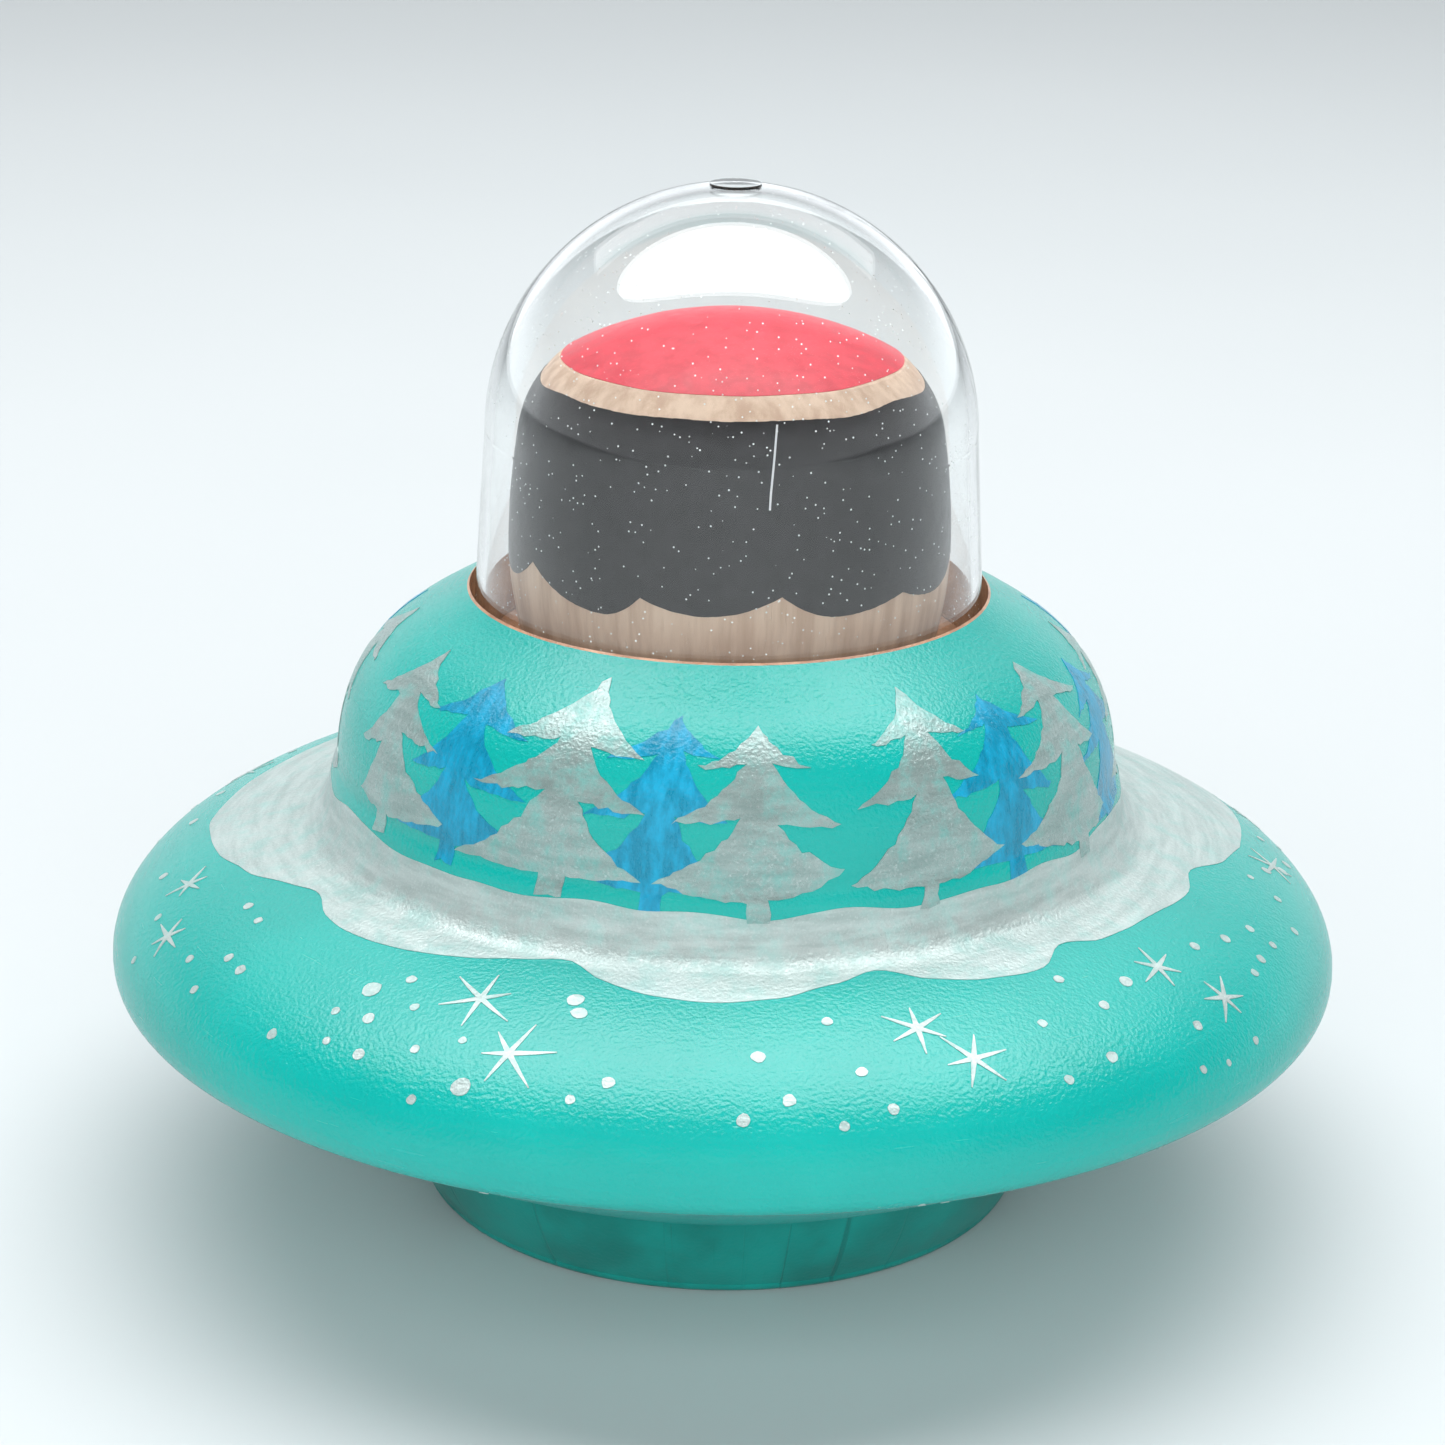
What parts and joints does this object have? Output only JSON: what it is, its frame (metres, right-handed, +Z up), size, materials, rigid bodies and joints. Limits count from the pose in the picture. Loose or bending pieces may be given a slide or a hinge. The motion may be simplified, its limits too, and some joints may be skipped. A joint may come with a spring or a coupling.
{
  "type": "wooden flying saucer toy",
  "caption": "Turned wooden flying saucer toy: round disc and crown on a foot, with a lift-off clear dome over a turning doll that sits on a centring peg.",
  "frame": {"origin": "centre of the foot's flat underside, on the surface the toy stands on", "axes": "+Z up along the turning axis; -Y is the side seen by someone looking at the doll's back"},
  "size_m": [0.122, 0.122, 0.1012],
  "materials": {
    "hull_paint": "satin turquoise paint on turned wood, with silver and blue brushwork",
    "foot_paint": "satin turquoise paint on turned wood",
    "clear_plastic": "clear moulded plastic, polished",
    "bare_wood": "bare sanded wood",
    "doll_wood": "bare sanded wood with a red cap and black hair painted on",
    "silver_paint": "satin silver paint, brushed on by hand",
    "blue_paint": "satin blue paint, brushed on by hand",
    "doll_paint": "satin black and red paint, brushed on by hand"
  },
  "bodies": {
    "hull": {"saucer_hull": "hull_paint", "foot": "foot_paint"},
    "dome": {"dome": "clear_plastic"},
    "peg": {"seat_peg": "bare_wood"},
    "pilot": {"pilot": "doll_wood"}
  },
  "joints": [
    {"name": "dome_lift", "type": "slide", "parent": "hull", "child": "dome", "axis": [0, 0, 1], "range_m": [0, 0.06]},
    {"name": "pilot_lift", "type": "slide", "parent": "hull", "child": "peg", "axis": [0, 0, 1], "range_m": [0, 0.006]},
    {"name": "pilot_turn", "type": "hinge", "parent": "peg", "child": "pilot", "pos_m": [0, 0, 0.06], "axis": [0, 0, 1], "continuous": true}
  ]
}
